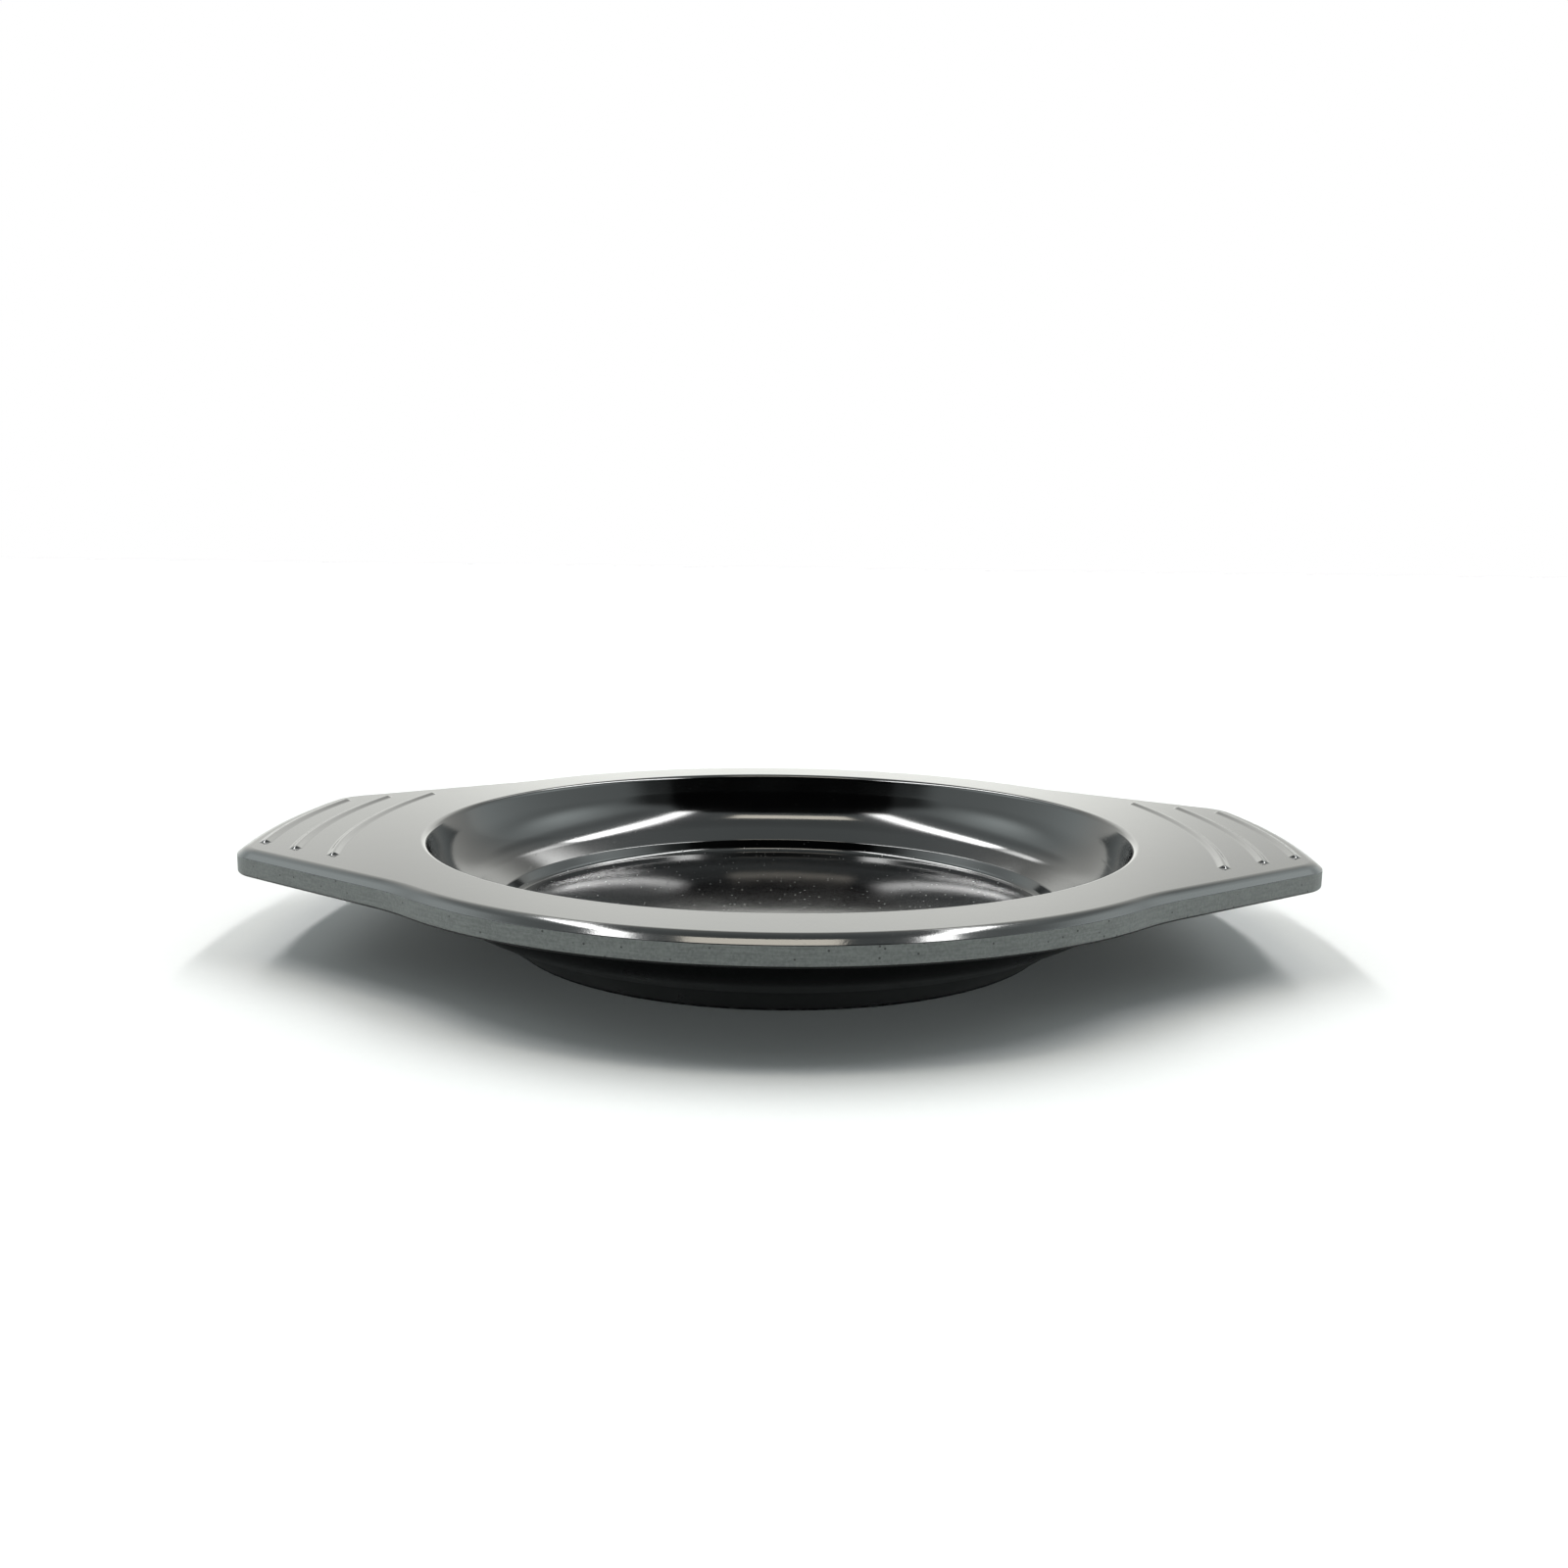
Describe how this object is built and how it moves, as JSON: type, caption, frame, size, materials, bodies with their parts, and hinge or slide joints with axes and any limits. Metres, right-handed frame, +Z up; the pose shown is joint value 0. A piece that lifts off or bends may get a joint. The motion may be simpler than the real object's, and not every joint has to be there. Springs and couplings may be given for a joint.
{
  "type": "serving dish",
  "caption": "Shallow round moulded serving dish with a stepped well, a broad flat rim and two integral ribbed handles.",
  "frame": {"origin": "on the table under the centre of the well, at the middle of the foot ring", "axes": "+X along the two handles, +Y across the dish towards the far side, +Z up out of the well"},
  "size_m": [0.2788, 0.2292, 0.0294],
  "materials": {
    "black_melamine": "gloss moulded melamine, slightly matt below the parting line"
  },
  "bodies": {
    "root": {"serving_dish": "black_melamine"}
  },
  "joints": []
}
